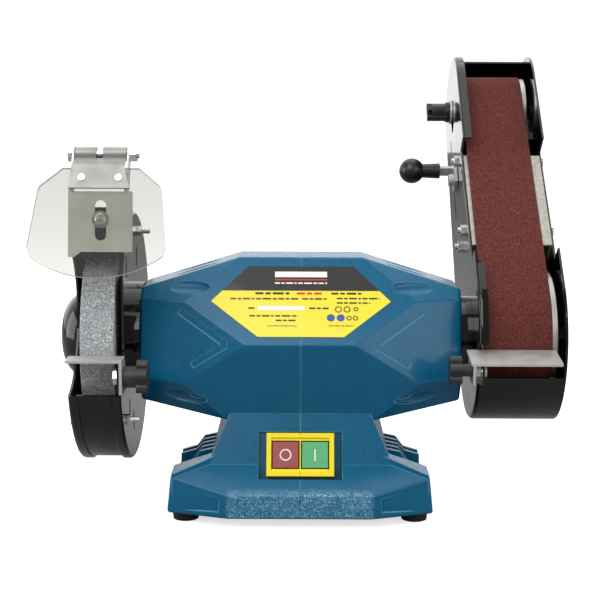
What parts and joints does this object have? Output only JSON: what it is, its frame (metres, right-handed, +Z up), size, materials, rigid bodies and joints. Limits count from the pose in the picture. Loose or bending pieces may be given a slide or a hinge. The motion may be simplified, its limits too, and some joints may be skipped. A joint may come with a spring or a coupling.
{
  "type": "bench grinder",
  "caption": "Bench grinder with a guarded grinding wheel and hinged eye shield on one end and a tilting belt-sander arm on the other, on a cast base.",
  "frame": {"origin": "on the bench surface, in the middle of the four bench bolts", "axes": "+X to the right along the spindle, +Y to the back, +Z up"},
  "size_m": [0.3825, 0.2888, 0.3368],
  "materials": {
    "blue_paint": "gloss hammer paint",
    "black_paint": "gloss black powder coat",
    "zinc": "zinc plated",
    "steel": "ground steel",
    "galvanised": "galvanised",
    "lamination": "stacked laminations",
    "winding": "enamelled copper winding",
    "cast_aluminium": "machined",
    "rubber": "matt",
    "black_plastic": "moulded",
    "capacitor_plastic": "moulded",
    "switch_yellow": "moulded",
    "switch_red": "moulded",
    "switch_green": "moulded",
    "switch_lining": "gloss",
    "label": "printed plate",
    "clear_sheet": "clear polycarbonate",
    "wheel_grit": "bonded grit",
    "belt_grit": "abrasive cloth"
  },
  "bodies": {
    "base": {"housing_left": "blue_paint", "housing_right": "blue_paint", "bottom_plate": "zinc", "foot_front_left": "rubber", "foot_front_right": "rubber", "foot_back_left": "rubber", "foot_back_right": "rubber", "casting_screws": "zinc", "stator_core": "lamination", "stator_windings": "winding", "bearing_outer_rings": "steel", "run_capacitor": "capacitor_plastic", "terminal_block": "black_plastic", "switch_plate": "switch_lining", "switch_bezel": "switch_yellow", "switch_body": "black_plastic", "rating_label": "label", "wheel_spacer": "black_paint", "wheel_guard": "black_paint", "guard_cover": "black_paint", "guard_screws": "zinc", "left_rest_bolt": "zinc", "bracket_screw": "zinc", "arm_spigot": "black_paint", "cable_gland": "black_plastic"},
    "spindle": {"motor_shaft": "steel", "rotor_core": "lamination", "rotor_end_rings": "cast_aluminium", "bearing_inner_rings": "steel", "grinding_wheel": "wheel_grit", "wheel_flanges": "steel", "spindle_nuts": "steel", "drive_drum": "cast_aluminium"},
    "shield_bracket": {"spark_bracket": "zinc", "shield_hinge_bolt": "zinc"},
    "shield": {"shield_carrier": "zinc", "eye_shield": "clear_sheet", "shield_rivets": "zinc"},
    "left_rest": {"left_tool_rest": "zinc"},
    "left_knob": {"left_rest_knob": "black_plastic"},
    "stop": {"stop_button": "switch_red"},
    "start": {"start_button": "switch_green"},
    "arm": {"arm_left_plate": "black_paint", "arm_right_plate": "black_paint", "lower_cover": "black_paint", "upper_cover": "black_paint", "platen": "galvanised", "sanding_belt": "belt_grit", "arm_bolts": "zinc", "spring_seat": "zinc", "tension_spring": "steel", "right_rest_bolt": "zinc"},
    "carriage": {"idler_fork": "black_paint", "idler_axle": "zinc"},
    "idler": {"idler_roller": "cast_aluminium"},
    "tracking": {"tracking_knob": "black_plastic"},
    "lever": {"tension_lever": "zinc", "lever_ball": "black_plastic"},
    "right_rest": {"right_tool_rest": "zinc"},
    "right_knob": {"right_rest_knob": "black_plastic"}
  },
  "joints": [
    {"name": "spindle_spin", "type": "hinge", "parent": "base", "child": "spindle", "pos_m": [0, 0, 0.125], "axis": [1, 0, 0], "continuous": true},
    {"name": "spark_bracket_slide", "type": "slide", "parent": "base", "child": "shield_bracket", "axis": [0, 0.1521, 0.9884], "range_m": [-0.007, 0.009]},
    {"name": "shield_flip", "type": "hinge", "parent": "shield_bracket", "child": "shield", "pos_m": [-0.1445, -0.03, 0.262], "axis": [-1, 0, 0], "range_deg": [0, 95]},
    {"name": "left_rest_slide", "type": "slide", "parent": "base", "child": "left_rest", "axis": [0, 1, 0], "range_m": [-0.004, 0.002]},
    {"name": "left_knob_turn", "type": "hinge", "parent": "base", "child": "left_knob", "pos_m": [-0.115, -0.087, 0.111], "axis": [1, 0, 0], "range_deg": [0, 360]},
    {"name": "stop_button_press", "type": "slide", "parent": "base", "child": "stop", "axis": [0, 0.9414, -0.3374], "range_m": [0, 0.003], "stiffness_N_per_m": 600, "springref_m": -0.002},
    {"name": "start_button_press", "type": "slide", "parent": "base", "child": "start", "axis": [0, 0.9414, -0.3374], "range_m": [0, 0.003], "stiffness_N_per_m": 600, "springref_m": -0.002},
    {"name": "arm_tilt", "type": "hinge", "parent": "base", "child": "arm", "pos_m": [0.156, 0, 0.125], "axis": [1, 0, 0], "range_deg": [-45, 41]},
    {"name": "belt_tension_slide", "type": "slide", "parent": "arm", "child": "carriage", "axis": [0, 0.6561, 0.7547], "range_m": [-0.00628, 0], "deforming": ["tension_spring"]},
    {"name": "tension_lever_turn", "type": "hinge", "parent": "arm", "child": "lever", "pos_m": [0.12, 0.09428, 0.2365], "axis": [1, 0, 0], "range_deg": [-60, 0]},
    {"name": "idler_spin", "type": "hinge", "parent": "carriage", "child": "idler", "pos_m": [0.156, 0.14368, 0.29028], "axis": [1, 0, 0], "continuous": true},
    {"name": "tracking_knob_turn", "type": "hinge", "parent": "carriage", "child": "tracking", "pos_m": [0.115, 0.14368, 0.29028], "axis": [1, 0, 0], "range_deg": [-90, 90]},
    {"name": "right_rest_tilt", "type": "hinge", "parent": "arm", "child": "right_rest", "pos_m": [0.121, -0.075, 0.1142], "axis": [1, 0, 0], "range_deg": [-4, 20]},
    {"name": "right_knob_turn", "type": "hinge", "parent": "arm", "child": "right_knob", "pos_m": [0.11, -0.075, 0.1142], "axis": [1, 0, 0], "range_deg": [0, 360]}
  ],
  "couplings": [
    {"joint": "idler_spin", "follows": "spindle_spin", "ratio": 1.7857},
    {"joint": "tension_lever_turn", "follows": "belt_tension_slide", "rad_per_m": 166.67}
  ]
}
